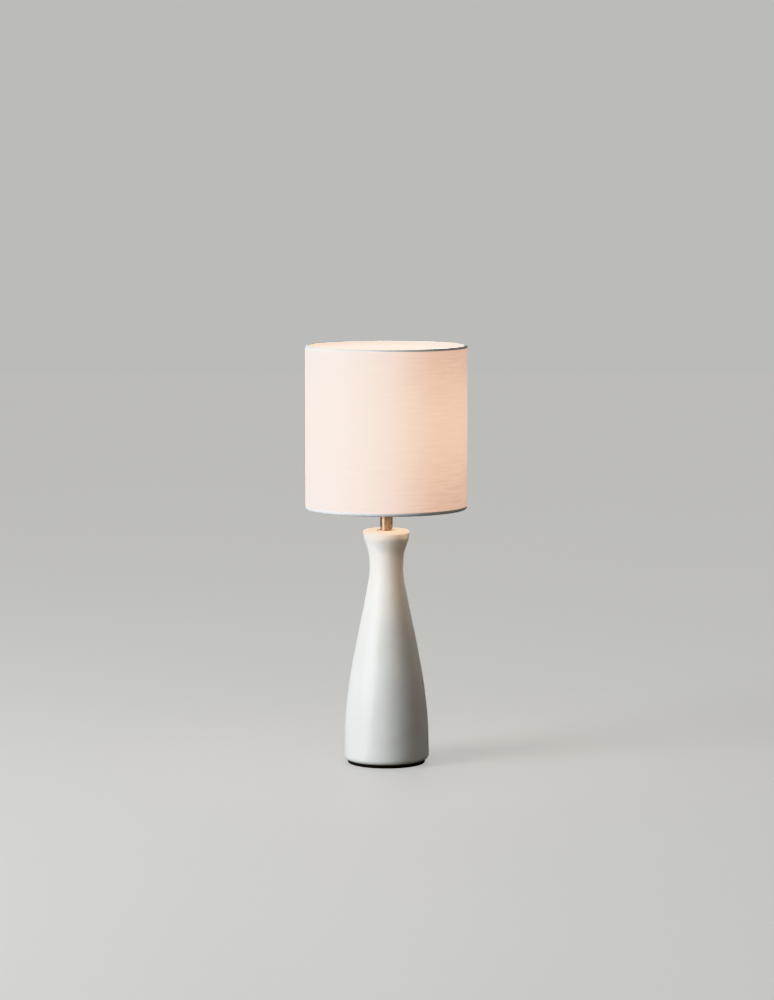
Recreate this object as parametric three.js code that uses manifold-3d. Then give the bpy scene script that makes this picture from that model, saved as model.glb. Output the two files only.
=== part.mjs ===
// Table lamp with a drum shade: a glazed ceramic bottle-shaped vessel carries a threaded pipe,
// a screw lamp holder, a fabric drum shade on a wire spider, and a round opal lamp bulb.
// Millimetres, +Z up, origin at the centre of the foot pad's underside, -Y to the front.

import * as THREE from 'three';
import { mergeVertices } from 'three/addons/utils/BufferGeometryUtils.js';
import Module from 'manifold-3d';

// ---------------------------------------------------------------- driving dimensions

const gap = 0.3; // between pieces that touch

// foot pad, and the ceramic vessel above it
const padRadius = 38.5;
const padThickness = 3;
const vesselHeight = 229.8;
const bellyRadius = 42.4;
const bellyRise = 9; // from the vessel's foot to its widest level
const neckRadius = 16.6;
const neckDrop = 38; // from the lip down to the narrowest level
const lipRadius = 23;
const footFillet = 5;
const lipFillet = 3;
const wall = 4.5;
const recessRadius = 32; // the hollow foot under the ledge
const recessHeight = 17;
const ledgeRadius = 26; // the vessel's open floor

// rear cord inlet
const inletRise = 7; // above the vessel's foot
const inletBore = 3.25;
const grommetWall = 1.4;
const grommetFlange = 1.6; // how far its flanges reach past the hole
const flangeThickness = 1.5;
const flangeChamfer = 0.5;

// threaded pipe (M10 x 1) and what it clamps
const pipeRadius = 5;
const pipeWall = 1;
const pipeOverhang = 1.1; // below the foot nut
const pipeEngagement = 10; // inside the holder's cap
const plateThickness = 1.5;
const lockWasherWidth = 4; // radial widths, outside the pipe
const lockWasherThickness = 1;
const nutWall = 2; // at its flats
const nutThickness = 4;
const gasketWidth = 4.2;
const gasketThickness = 0.4;
const lipWasherWidth = 4.9;
const lipWasherThickness = 0.8; // it lies flush in a seat in the lip
const coverPlay = 0.35; // between the pipe and the tube that covers it
const coverWall = 0.8;
const coverLength = 27.4;

// screw lamp holder
const capHeight = 17;
const capNeckWall = 3.2;
const capNeckHeight = 6;
const capNeckChamfer = 0.8;
const capDomeHeight = 6; // from the neck up to the cap's full width
const capShoulderWidth = 2;
const capShoulderHeight = 3;
const capFloor = 11.5; // thickness of the cap's solid neck end
const capFloorChamfer = 1;
const holderRadius = 13.9; // over the shell's outer thread
const holderWall = 2;
const shoulderHeight = 5;
const shoulderWidth = 2.6;
const shellChamfer = 0.6;
const shellThreadHeight = 20;
const coreWall = 2.6;
const coreFloor = 4;
const corePlay = 0.7; // between the core and the shell's bore
const coreLift = 1.5; // above the shell's foot
const coreDrop = 2; // below the shell's top
const coreStep = 1;
const screwShellRadius = 6.95; // inside, over the bulb's cap
const screwShellWall = 0.5;
const screwShellHeight = 17;
const contactRadius = 3;
const contactThickness = 0.8;
const grubScrewRadius = 1.5;
const grubScrewLength = 3;
const terminalSize = 5;
const terminalOffset = 3.5; // from the axis
const terminalScrewRadius = 1.4;
const terminalScrewDrop = 0.6; // its head lies this far inside the cap

// shade ring that holds the shade down
const ringHeight = 9;
const ringPlay = 0.4; // over the holder's thread
const ringSleeveWall = 1.9;
const ringGripWidth = 4.5;
const ringGripHeight = 4;
const ringRibs = 20;
const ringRibDepth = 0.8;

// drum shade
const shadeRadius = 80;
const shadeHeight = 162;
const hubRecess = 29.3; // from the shade's lower edge up to the hub
const fabricThickness = 0.45;
const linerThickness = 0.5;
const wireRadius = 1.5;
const rollTurn = THREE.MathUtils.degToRad(250); // how far the fabric rolls round a wire
const hubWidth = 5;
const hubThickness = 2;
const armCount = 3;
const armBend = 18; // length of the bend where an arm turns down

// round bulb with an E14 screw cap
const bulbCapRadius = 6.65;
const bulbCapHeight = 18;
const bulbCapWall = 0.4;
const bulbTipRadius = 2.6;
const bulbTipHeight = 1.5;
const bulbInsulatorHeight = 3;
const insulatorMargin = 0.4; // past the tip
const insulatorInset = 1; // inside the cap's radius
const bulbHousingHeight = 22.7;
const bulbHousingWall = 1.2;
const housingStep = 0.6; // its foot is this much wider than the cap
const housingSwell = 1; // wider again, low down
const housingSwellRise = 0.25; // share of its height
const housingWaistRise = 0.62; // share of its height, halfway to the rim's width
const globeRadius = 22.5;
const globeRise = 9; // from its lower edge up to its centre
const globeWall = 1;
const ledBoardDrop = 4; // below the housing's rim
const boardThickness = 1.2;
const driverWidth = 9;
const driverHeight = 29;
const driverLift = 1; // above the cap's foot

// ---------------------------------------------------------------- levels along the axis

const foot = padThickness;
const lip = foot + vesselHeight;
const ledge = foot + recessHeight;
const plateTop = ledge - gap;
const lockWasherTop = plateTop - plateThickness - gap;
const nutTop = lockWasherTop - lockWasherThickness - gap;
const pipeFoot = nutTop - nutThickness - pipeOverhang;
const lipSeat = lip - lipWasherThickness - gap - gasketThickness - gap;
const gasketFoot = lipSeat + gap;
const lipWasherFoot = lip - lipWasherThickness;
const coverFoot = lip + gap;
const holderFoot = coverFoot + coverLength + gap;
const pipeHeight = holderFoot + pipeEngagement - pipeFoot;
const pipeHole = pipeRadius + gap;
const lipSeatRadius = pipeRadius + lipWasherWidth + gap;
const coverRadius = pipeRadius + coverPlay + coverWall;

// inside the holder, from its own foot
const capNeckRadius = pipeHole + capNeckWall;
const shoulderRadius = holderRadius + shoulderWidth;
const shellFoot = capHeight + gap;
const shoulderTop = shellFoot + shoulderHeight;
const shellTop = shoulderTop + shellThreadHeight;
const boreRadius = holderRadius - holderWall;
const coreTop = shellTop - coreDrop;
const coreRadius = boreRadius - corePlay;
const coreCup = screwShellRadius + screwShellWall + gap;
const coreFoot = shellFoot + coreLift;
const contactFoot = coreFoot + coreFloor + gap;
const hubFoot = shoulderTop + gap;
const ringFoot = hubFoot + hubThickness + gap;
const bulbFoot = contactFoot + contactThickness + gap;
const shadeFoot = hubFoot - hubRecess;

// ---------------------------------------------------------------- materials and helpers

const paint = (color, roughness, metalness = 0) => () =>
  new THREE.MeshStandardMaterial({ color, roughness, metalness });
const glazedCeramic = paint('#e9e7e1', 0.35);
const blackFoam = paint('#191817', 0.95);
const zincSteel = paint('#aeb1b3', 0.4, 1);
const nickel = paint('#b9ada1', 0.28, 1);
const brass = paint('#c9a352', 0.35, 1);
const blackRubber = paint('#1c1b1b', 0.8);
const whitePlastic = paint('#e8e6e0', 0.45);
const steatite = paint('#ddd8cc', 0.6);
const whiteCoat = paint('#efece6', 0.4);
const fabric = paint('#ece8df', 0.95);
const liner = paint('#f4f0e6', 0.6);
const opal = paint('#fff6e4', 0.5);
const blackGlass = paint('#15141a', 0.2);
const circuitBoard = paint('#e6e6e2', 0.6);

function mesh(name, geometry, material, group) {
  const piece = new THREE.Mesh(geometry, material());
  piece.name = name;
  group.add(piece);
  return piece;
}

// A body turned about Z from [radius, height] points. A profile that leaves the axis is closed.
function turned(points, segments = 24) {
  const profile = points.map(([radius, height]) => new THREE.Vector2(radius, height));
  const onAxis = profile[0].x === 0 && profile.at(-1).x === 0;
  if (!onAxis) profile.push(profile[0].clone());
  return new THREE.LatheGeometry(profile, segments).rotateX(Math.PI / 2);
}

function washer(innerRadius, outerRadius, low, high, segments = 24) {
  const ring = [[innerRadius, low], [outerRadius, low], [outerRadius, high], [innerRadius, high]];
  return turned(ring, segments);
}

function arcPoints(centreR, centreZ, radius, from, to, steps) {
  const points = [];
  for (let i = 0; i <= steps; i++) {
    const angle = from + ((to - from) * i) / steps;
    points.push([centreR + radius * Math.cos(angle), centreZ + radius * Math.sin(angle)]);
  }
  return points;
}

function extruded(shape, low, high, curveSegments = 12) {
  const geometry = new THREE.ExtrudeGeometry(shape, {
    depth: high - low,
    bevelEnabled: false,
    curveSegments,
  });
  return geometry.translate(0, 0, low);
}

const wasm = await Module();
wasm.setup();

function solid(geometry) {
  const bare = geometry.clone();
  bare.deleteAttribute('normal');
  bare.deleteAttribute('uv');
  const merged = mergeVertices(bare, 1e-4);
  return new wasm.Manifold(new wasm.Mesh({
    numProp: 3,
    vertProperties: new Float32Array(merged.attributes.position.array),
    triVerts: new Uint32Array(merged.index.array),
  }));
}

function cut(geometry, ...tools) {
  let body = solid(geometry);
  for (const tool of tools) body = body.subtract(solid(tool));
  const { vertProperties, triVerts } = body.getMesh();
  const result = new THREE.BufferGeometry();
  result.setAttribute('position', new THREE.BufferAttribute(vertProperties, 3));
  result.setIndex(new THREE.BufferAttribute(triVerts, 1));
  result.computeVertexNormals();
  return result;
}

// ---------------------------------------------------------------- ceramic base

// The outline of the vessel's side: a slow taper from the belly to the neck, then the flared lip.
function vesselSide(inset = 0) {
  const belly = foot + bellyRise;
  const neck = lip - neckDrop;
  const taper = [[1, 0], [0.945, 0.175], [0.76, 0.385], [0.475, 0.605], [0.16, 0.83], [0, 1]];
  const flare = [[0.03, 0.2], [0.17, 0.44], [0.58, 0.68], [0.93, 0.87]];
  const points = [];
  for (const [share, rise] of taper) {
    const radius = neckRadius + share * (bellyRadius - neckRadius);
    points.push(new THREE.Vector2(radius - inset, belly + rise * (neck - belly)));
  }
  const rim = lip - lipFillet;
  for (const [share, rise] of flare) {
    const radius = neckRadius + share * (lipRadius - neckRadius);
    points.push(new THREE.Vector2(radius - inset, neck + rise * (rim - neck)));
  }
  points.push(new THREE.Vector2(lipRadius - inset, rim));
  return new THREE.SplineCurve(points);
}

function ceramicBody() {
  const sideSteps = 16;
  const outside = vesselSide().getPoints(sideSteps).map((p) => [p.x, p.y]);
  const footArc = arcPoints(
    bellyRadius - footFillet, foot + footFillet, footFillet, -Math.PI / 2, 0, 4);
  const lipArc = arcPoints(
    lipRadius - lipFillet, lip - lipFillet, lipFillet, 0, Math.PI / 2, 4).slice(1);
  const ceiling = lip - lipFillet - wall;
  const inside = vesselSide(wall).getPoints(sideSteps / 2).map((p) => [p.x, p.y])
    .filter(([, height]) => height > ledge + wall && height < lip - neckDrop / 2)
    .reverse();
  const top = inside[0][0];
  const profile = [
    ...footArc, ...outside, ...lipArc,
    [lipSeatRadius, lip], [lipSeatRadius, lipSeat], [pipeHole, lipSeat], [pipeHole, ceiling],
    [top, ceiling - (top - pipeHole)],
    ...inside,
    [inside.at(-1)[0], ledge + wall], [ledgeRadius, ledge + wall], [ledgeRadius, ledge],
    [recessRadius, ledge], [recessRadius, foot],
  ];
  const inletRadius = inletBore + grommetWall + gap;
  const inletLength = 2 * (bellyRadius - recessRadius);
  const inlet = new THREE.CylinderGeometry(inletRadius, inletRadius, inletLength, 24);
  inlet.translate(0, (bellyRadius + recessRadius) / 2, foot + inletRise);
  return cut(turned(profile, 48), inlet);
}

// A rubber bush with a flange on each side of the vessel's foot wall, turned about Y.
function cordGrommet() {
  const sleeve = inletBore + grommetWall;
  const flange = sleeve + grommetFlange;
  // the wall is curved, so a flange clears it at its own edge on the inside
  const inner = Math.sqrt(recessRadius ** 2 - flange ** 2) - gap;
  const outer = bellyRadius + gap;
  const profile = [
    [inletBore, inner - flangeThickness], [flange, inner - flangeThickness], [flange, inner],
    [sleeve, inner], [sleeve, outer], [flange, outer],
    [flange - flangeChamfer, outer + flangeThickness], [inletBore, outer + flangeThickness],
  ];
  const bush = turned(profile, 24).rotateX(-Math.PI / 2);
  return bush.translate(0, 0, foot + inletRise);
}

function hexNut() {
  const nut = new THREE.Shape();
  const corner = ((pipeRadius + nutWall) * 2) / Math.sqrt(3);
  for (let i = 0; i < 6; i++) {
    const angle = (i * Math.PI) / 3;
    const point = [corner * Math.cos(angle), corner * Math.sin(angle)];
    if (i === 0) nut.moveTo(...point);
    else nut.lineTo(...point);
  }
  nut.closePath();
  nut.holes.push(new THREE.Path().absarc(0, 0, pipeHole, 0, 2 * Math.PI, true));
  return extruded(nut, nutTop - nutThickness, nutTop);
}

function lockWasher() {
  const split = THREE.MathUtils.degToRad(12);
  const shape = new THREE.Shape();
  shape.absarc(0, 0, pipeRadius + lockWasherWidth, split, 2 * Math.PI - split, false);
  shape.absarc(0, 0, pipeHole, 2 * Math.PI - split, split, true);
  shape.closePath();
  return extruded(shape, lockWasherTop - lockWasherThickness, lockWasherTop, 16);
}

function buildBase() {
  const base = new THREE.Group();
  mesh('foot_pad', turned([[0, 0], [padRadius, 0], [padRadius, padThickness - gap],
    [0, padThickness - gap]], 48), blackFoam, base);
  mesh('ceramic_body', ceramicBody(), glazedCeramic, base);
  mesh('cord_grommet', cordGrommet(), blackRubber, base);
  mesh('base_plate', washer(pipeHole, recessRadius - 2 * gap,
    plateTop - plateThickness, plateTop, 48), zincSteel, base);
  mesh('foot_lock_washer', lockWasher(), zincSteel, base);
  mesh('foot_nut', hexNut(), zincSteel, base);
  const pipe = washer(pipeRadius - pipeWall, pipeRadius, 0, pipeHeight);
  mesh('threaded_pipe', pipe, zincSteel, base).position.z = pipeFoot;
  const gasket = washer(pipeHole, pipeRadius + gasketWidth, 0, gasketThickness);
  mesh('lip_gasket', gasket, blackRubber, base).position.z = gasketFoot;
  const lipWasher = washer(pipeHole, pipeRadius + lipWasherWidth, 0, lipWasherThickness);
  mesh('lip_washer', lipWasher, nickel, base).position.z = lipWasherFoot;
  const cover = washer(coverRadius - coverWall, coverRadius, 0, coverLength);
  mesh('cover_tube', cover, nickel, base).position.z = coverFoot;
  return base;
}

// ---------------------------------------------------------------- lamp holder

function holderCap() {
  const dome = capNeckHeight + capDomeHeight;
  const profile = [
    [pipeHole, 0], [capNeckRadius - capNeckChamfer, 0], [capNeckRadius, capNeckChamfer],
    [capNeckRadius, capNeckHeight],
    [holderRadius - capShoulderWidth, dome - capShoulderHeight],
    [holderRadius, dome], [holderRadius, capHeight], [boreRadius, capHeight],
    [boreRadius, capFloor + capFloorChamfer], [boreRadius - capFloorChamfer, capFloor],
    [pipeHole, capFloor],
  ];
  const screwHole = new THREE.CylinderGeometry(
    grubScrewRadius + gap, grubScrewRadius + gap, capNeckRadius, 12);
  screwHole.translate(0, capNeckRadius, capNeckHeight / 2);
  return cut(turned(profile), screwHole);
}

function holderShell() {
  return turned([
    [boreRadius, shellFoot], [shoulderRadius - shellChamfer, shellFoot],
    [shoulderRadius, shellFoot + shellChamfer], [shoulderRadius, shoulderTop],
    [holderRadius, shoulderTop], [holderRadius, shellTop - shellChamfer],
    [holderRadius - shellChamfer, shellTop], [boreRadius, shellTop],
  ]);
}

function holderCore() {
  return turned([
    [0, coreFoot], [coreRadius, coreFoot], [coreRadius, coreFoot + coreFloor],
    [coreCup + coreWall, coreFoot + coreFloor + coreStep], [coreCup + coreWall, coreTop],
    [coreCup, coreTop], [coreCup, coreFoot + coreFloor], [0, coreFoot + coreFloor],
  ]);
}

function buildHolder() {
  const holder = new THREE.Group();
  holder.position.z = holderFoot;
  mesh('holder_cap', holderCap(), whitePlastic, holder);
  const grub = new THREE.CylinderGeometry(grubScrewRadius, grubScrewRadius, grubScrewLength, 12);
  const grubScrew = mesh('holder_grub_screw', grub, zincSteel, holder);
  grubScrew.position.set(0, pipeHole + grubScrewLength / 2, capNeckHeight / 2);
  mesh('holder_shell', holderShell(), whitePlastic, holder);
  mesh('holder_core', holderCore(), steatite, holder);
  mesh('screw_shell', washer(screwShellRadius, screwShellRadius + screwShellWall,
    contactFoot, contactFoot + screwShellHeight), brass, holder);
  mesh('centre_contact', turned([[0, 0], [contactRadius, 0], [contactRadius, contactThickness / 2],
    [contactRadius / 2, contactThickness], [0, contactThickness]], 16), brass, holder)
    .position.z = contactFoot;
  const terminalLevel = coreFoot - gap - terminalSize / 2;
  const screwStart = terminalOffset + terminalSize + gap;
  const screwLength = boreRadius - gap - terminalScrewDrop - screwStart;
  for (const [pole, side] of [['live', -1], ['neutral', 1]]) {
    const block = new THREE.BoxGeometry(terminalSize, terminalSize, terminalSize);
    const terminal = mesh(`${pole}_terminal`, block, brass, holder);
    terminal.position.set(side * (terminalOffset + terminalSize / 2), 0, terminalLevel);
    const screw = new THREE.CylinderGeometry(
      terminalScrewRadius, terminalScrewRadius, screwLength, 12);
    const head = mesh(`${pole}_terminal_screw`, screw, zincSteel, holder);
    head.rotation.z = Math.PI / 2;
    head.position.set(side * (screwStart + screwLength / 2), 0, terminalLevel);
  }
  return holder;
}

// ---------------------------------------------------------------- shade ring

function ringGrip(innerRadius) {
  const grip = new THREE.Shape();
  const ringGripRadius = innerRadius + ringGripWidth;
  const steps = ringRibs * 4;
  for (let i = 0; i < steps; i++) {
    const angle = (2 * Math.PI * i) / steps;
    const radius = ringGripRadius - (i % 4 < 2 ? 0 : ringRibDepth);
    const point = [radius * Math.cos(angle), radius * Math.sin(angle)];
    if (i === 0) grip.moveTo(...point);
    else grip.lineTo(...point);
  }
  grip.closePath();
  grip.holes.push(new THREE.Path().absarc(0, 0, innerRadius, 0, 2 * Math.PI, true));
  return extruded(grip, 0, ringGripHeight);
}

function buildRing() {
  const ring = new THREE.Group();
  ring.position.z = holderFoot + ringFoot;
  const bore = holderRadius + ringPlay;
  const sleeve = bore + ringSleeveWall;
  mesh('shade_ring_sleeve', washer(bore, sleeve, 0, ringHeight), whitePlastic, ring);
  mesh('shade_ring_grip', ringGrip(sleeve + gap), whitePlastic, ring);
  return ring;
}

// ---------------------------------------------------------------- drum shade

const rollRadius = wireRadius + gap + fabricThickness;
const wireCircle = shadeRadius - rollRadius;
const lowWire = rollRadius;
const highWire = shadeHeight - rollRadius;
const shadeSegments = 48;

// One sheet of fabric whose two edges roll inwards round the wire rings.
function shadeFabric() {
  const steps = 5;
  const inner = rollRadius - fabricThickness;
  return turned([
    ...arcPoints(wireCircle, lowWire, rollRadius, -rollTurn, 0, steps),
    ...arcPoints(wireCircle, highWire, rollRadius, 0, rollTurn, steps),
    ...arcPoints(wireCircle, highWire, inner, rollTurn, 0, steps),
    ...arcPoints(wireCircle, lowWire, inner, 0, -rollTurn, steps),
  ], shadeSegments);
}

function wireRing(height) {
  const section = arcPoints(wireCircle, height, wireRadius, 0, 2 * Math.PI, 6).slice(0, -1);
  return turned(section, shadeSegments);
}

function shadeLiner() {
  const outer = shadeRadius - fabricThickness - gap;
  const margin = rollRadius + gap;
  return washer(outer - linerThickness, outer, lowWire + margin, highWire - margin, shadeSegments);
}

// A wire arm: straight out from the hub, then bent down to the lower rolled edge.
function spiderArm(hubEdge, hubLevel) {
  const start = hubEdge + gap;
  const end = wireCircle - rollRadius - gap - wireRadius;
  const knee = end - armBend;
  const bend = new THREE.QuadraticBezierCurve3(
    new THREE.Vector3(knee, 0, hubLevel),
    new THREE.Vector3(end - armBend / 3, 0, hubLevel),
    new THREE.Vector3(end, 0, lowWire),
  );
  const path = new THREE.CurvePath();
  path.add(new THREE.LineCurve3(new THREE.Vector3(start, 0, hubLevel), bend.v0));
  path.add(bend);
  const section = new THREE.Shape();
  section.absarc(0, 0, wireRadius, 0, 2 * Math.PI, false);
  return new THREE.ExtrudeGeometry(section, { extrudePath: path, steps: 12, curveSegments: 4 });
}

function buildShade() {
  const shade = new THREE.Group();
  shade.position.z = holderFoot + shadeFoot;
  mesh('shade_fabric', shadeFabric(), fabric, shade);
  mesh('shade_liner', shadeLiner(), liner, shade);
  mesh('top_wire', wireRing(highWire), whiteCoat, shade);
  mesh('bottom_wire', wireRing(lowWire), whiteCoat, shade);
  const hubBore = holderRadius + 2 * gap;
  const hubEdge = hubBore + hubWidth;
  mesh('spider_hub', washer(hubBore, hubEdge, hubRecess, hubRecess + hubThickness),
    whiteCoat, shade);
  for (let i = 0; i < armCount; i++) {
    const arm = spiderArm(hubEdge, hubRecess + hubThickness - wireRadius);
    mesh(`spider_arm_${i + 1}`, arm, whiteCoat, shade).rotation.z =
      Math.PI / 2 + (i * 2 * Math.PI) / armCount;
  }
  return shade;
}

// ---------------------------------------------------------------- bulb

function buildBulb() {
  const bulb = new THREE.Group();
  bulb.position.z = holderFoot + bulbFoot;

  mesh('bulb_tip', turned([[0, 0], [bulbTipRadius / 2, 0], [bulbTipRadius, bulbTipHeight / 2],
    [bulbTipRadius, bulbTipHeight], [0, bulbTipHeight]], 16), zincSteel, bulb);

  const insulatorFoot = bulbTipHeight + gap;
  const insulatorTop = insulatorFoot + bulbInsulatorHeight;
  mesh('bulb_insulator', turned([[0, insulatorFoot],
    [bulbTipRadius + insulatorMargin, insulatorFoot],
    [bulbCapRadius - insulatorInset, insulatorTop], [0, insulatorTop]]), blackGlass, bulb);

  const capFoot = insulatorTop + gap;
  const capTop = capFoot + bulbCapHeight;
  mesh('bulb_screw_cap', washer(bulbCapRadius - bulbCapWall, bulbCapRadius,
    capFoot, capTop), nickel, bulb);

  // a thin housing that widens from the cap to the globe's rim
  const housingFoot = capTop + gap;
  const rim = housingFoot + bulbHousingHeight;
  const centre = rim + gap + globeRise;
  const rimRadius = Math.sqrt(globeRadius ** 2 - (centre - rim) ** 2) - gap;
  const housingRadius = bulbCapRadius + housingStep;
  const flare = new THREE.SplineCurve([
    new THREE.Vector2(housingRadius, housingFoot),
    new THREE.Vector2(
      housingRadius + housingSwell, housingFoot + bulbHousingHeight * housingSwellRise),
    new THREE.Vector2(
      (bulbCapRadius + rimRadius) / 2, housingFoot + bulbHousingHeight * housingWaistRise),
    new THREE.Vector2(rimRadius, rim),
  ]).getPoints(6).map((p) => [p.x, p.y]);
  const lining = flare.map(([radius, height]) => [radius - bulbHousingWall, height]).reverse();
  mesh('bulb_housing', turned([...flare, ...lining]), whitePlastic, bulb);

  // the opal globe is open below, over the board of light-emitting diodes
  const within = globeRadius - globeWall;
  const opening = rim + gap - centre;
  const top = Math.PI / 2;
  const inside = arcPoints(0, centre, within, top, Math.asin(opening / within), 8);
  const outside = arcPoints(0, centre, globeRadius, Math.asin(opening / globeRadius), top, 8);
  inside[0][0] = 0;
  outside.at(-1)[0] = 0;
  mesh('bulb_globe', turned([...inside, ...outside]), opal, bulb);

  const boardFoot = rim - ledBoardDrop;
  const boardRadius = rimRadius - bulbHousingWall - ledBoardDrop - gap;
  mesh('bulb_led_board', turned([[0, boardFoot], [boardRadius, boardFoot],
    [boardRadius, boardFoot + boardThickness], [0, boardFoot + boardThickness]]),
  circuitBoard, bulb);
  const driver = new THREE.BoxGeometry(driverWidth, boardThickness, driverHeight);
  mesh('bulb_driver_board', driver, circuitBoard, bulb)
    .position.z = capFoot + driverLift + driverHeight / 2;
  return bulb;
}

// ---------------------------------------------------------------- whole lamp

const lamp = new THREE.Group();
lamp.add(buildBase(), buildHolder(), buildRing(), buildShade(), buildBulb());
lamp.updateMatrixWorld(true);

export default lamp;
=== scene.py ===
import math

import bmesh
import bpy
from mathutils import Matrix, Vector, noise


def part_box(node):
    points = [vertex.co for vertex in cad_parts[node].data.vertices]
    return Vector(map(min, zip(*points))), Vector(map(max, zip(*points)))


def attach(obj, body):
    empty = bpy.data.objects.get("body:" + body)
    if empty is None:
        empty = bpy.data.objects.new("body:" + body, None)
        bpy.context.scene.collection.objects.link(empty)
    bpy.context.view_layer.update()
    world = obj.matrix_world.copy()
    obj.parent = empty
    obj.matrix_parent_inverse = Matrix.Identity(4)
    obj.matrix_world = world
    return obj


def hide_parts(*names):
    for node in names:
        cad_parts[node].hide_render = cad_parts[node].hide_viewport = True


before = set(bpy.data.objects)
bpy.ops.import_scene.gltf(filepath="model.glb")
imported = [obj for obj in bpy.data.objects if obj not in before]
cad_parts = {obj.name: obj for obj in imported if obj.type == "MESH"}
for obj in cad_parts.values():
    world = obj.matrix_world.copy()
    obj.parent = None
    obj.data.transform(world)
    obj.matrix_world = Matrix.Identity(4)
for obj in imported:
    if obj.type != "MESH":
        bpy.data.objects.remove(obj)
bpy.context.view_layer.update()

MM = 0.001

# ---------------------------------------------------------------- foot pad
# A disc of closed-cell EVA foam, punched out of black sheet and stuck under the lamp's foot.
# It sits a little in from the ceramic, and its cut edge is slightly crushed by the lamp's weight.


def linear(hex_colour):
    """An sRGB hex colour as linear RGBA."""
    channels = [int(hex_colour[i : i + 2], 16) / 255 for i in (1, 3, 5)]
    bent = [c / 12.92 if c <= 0.04045 else ((c + 0.055) / 1.055) ** 2.4 for c in channels]
    return (*bent, 1.0)


def node(material, kind, inputs=None, ramp=(), **settings):
    """Adds a shader node. inputs maps its sockets to values, nodes or other nodes' outputs, and
    ramp gives the place and the hex colour of each end of a colour ramp."""
    made = material.node_tree.nodes.new("ShaderNode" + kind)
    if ramp:
        for end, (place, colour) in zip(made.color_ramp.elements, ramp):
            end.position, end.color = place, linear(colour)
    for name, value in settings.items():
        setattr(made, name, value)
    for socket, value in (inputs or {}).items():
        if isinstance(value, bpy.types.Node):
            value = value.outputs[0]
        if isinstance(value, bpy.types.NodeSocket):
            material.node_tree.links.new(value, made.inputs[socket])
        else:
            made.inputs[socket].default_value = value
    return made


def new_material(name):
    """An empty node material, with its output still to be linked."""
    material = bpy.data.materials.new(name)
    material.use_nodes = True
    material.node_tree.nodes.clear()
    return material


def rounded(points, radius, steps=3):
    """The profile's corners rounded, each by no more than a share of the edges beside it."""
    soft = []
    count = len(points)
    for i, here in enumerate(points):
        before, after = points[i - 1], points[(i + 1) % count]
        at_axis = here[0] < 1e-6 or (i in (0, count - 1) and points[0][0] < 1e-6)
        if at_axis:
            soft.append(here)
            continue
        here_v, before_v, after_v = Vector(here), Vector(before), Vector(after)
        back, ahead = before_v - here_v, after_v - here_v
        cut = min(radius, 0.4 * back.length, 0.4 * ahead.length)
        start = here_v + back.normalized() * cut
        end = here_v + ahead.normalized() * cut
        for step in range(steps + 1):
            t = step / steps
            point = start * (1 - t) ** 2 + here_v * 2 * t * (1 - t) + end * t**2
            soft.append((point.x, point.y))
    return soft


def turned(name, profile, segments=96, shape=None, smooth=40):
    """A body turned about Z from (radius, height) points in mm, going up its outside.
    shape(radius, height, angle) may give each point another radius and height."""
    made = bmesh.new()
    rings = []
    for radius, height in profile:
        if radius < 1e-6:
            rings.append([made.verts.new((0, 0, height * MM))])
            continue
        ring = []
        for i in range(segments):
            angle = 2 * math.pi * i / segments
            r, z = shape(radius, height, angle) if shape else (radius, height)
            ring.append(made.verts.new((r * math.cos(angle) * MM, r * math.sin(angle) * MM, z * MM)))
        rings.append(ring)
    on_axis = len(rings[0]) == 1 and len(rings[-1]) == 1
    pairs = list(zip(rings, rings[1:])) + ([] if on_axis else [(rings[-1], rings[0])])
    for low, high in pairs:
        for i in range(segments):
            j = (i + 1) % segments
            corners = [low[i % len(low)], low[j % len(low)], high[j % len(high)], high[i % len(high)]]
            corners = list(dict.fromkeys(corners))
            if len(corners) > 2:
                made.faces.new(corners)
    mesh = bpy.data.meshes.new(name)
    made.to_mesh(mesh)
    made.free()
    for face in mesh.polygons:
        face.use_smooth = True
    mesh.set_sharp_from_angle(angle=math.radians(smooth))
    piece = bpy.data.objects.new(name, mesh)
    bpy.context.scene.collection.objects.link(piece)
    return piece


def stands_for(piece, material, body, slot, *nodes):
    """Gives a piece its material, its body and the CAD nodes that it shows. Its slot is not used."""
    piece.data.materials.clear()
    piece.data.materials.append(material)
    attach(piece, body)
    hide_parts(*nodes)


def millimetres(node_name):
    """A CAD node's lowest and highest corners in mm."""
    low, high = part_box(node_name)
    return Vector(low) / MM, Vector(high) / MM


def radius_of(low, high):
    """The radius of a round node from its two corners."""
    return (high.x - low.x) / 2


pad_low, pad_high = millimetres("foot_pad")
pad_radius = radius_of(pad_low, pad_high)
pad_top = pad_high.z + 0.25  # up to the glaze, through the adhesive
pad_bulge = 0.3

# EVA foam: charcoal black, quite matt, with burst cells on its cut face. They are drawn 0.6 mm
# across, a little coarser than they are, over a mottle about 11 mm wide.
foam = new_material("eva_foam")
where = node(foam, "TexCoord").outputs["Object"]
cells = node(foam, "TexVoronoi", {"Vector": where, "Scale": 1 / 0.0006})
mottle = node(foam, "TexNoise", {"Vector": where, "Scale": 90.0, "Detail": 3.0})
tone = node(foam, "ValToRGB", {"Fac": mottle}, ramp=((0.0, "#121110"), (1.0, "#2a2826")))
relief = node(foam, "Bump", {"Strength": 0.5, "Distance": 0.0002, "Height": cells.outputs["Distance"]})
shader = node(foam, "BsdfPrincipled", {"Base Color": tone, "Roughness": 0.92, "Normal": relief})
node(foam, "OutputMaterial", {"Surface": shader})

pad_outline = [
    (0, 0),
    (pad_radius - pad_bulge, 0),
    (pad_radius, pad_top / 2),
    (pad_radius - pad_bulge + 0.1, pad_top),
    (0, pad_top),
]
pad = turned("foot_pad_foam", rounded(pad_outline, 0.4))
stands_for(pad, foam, "lamp", "black_foam", "foot_pad")

# ---------------------------------------------------------------- ceramic vessel
# A slip-cast stoneware bottle, hollow and open below, with a flared lip. It is dipped in a thick
# white satin glaze that softens every edge, and wiped bare on the ring that it was fired on.


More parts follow.
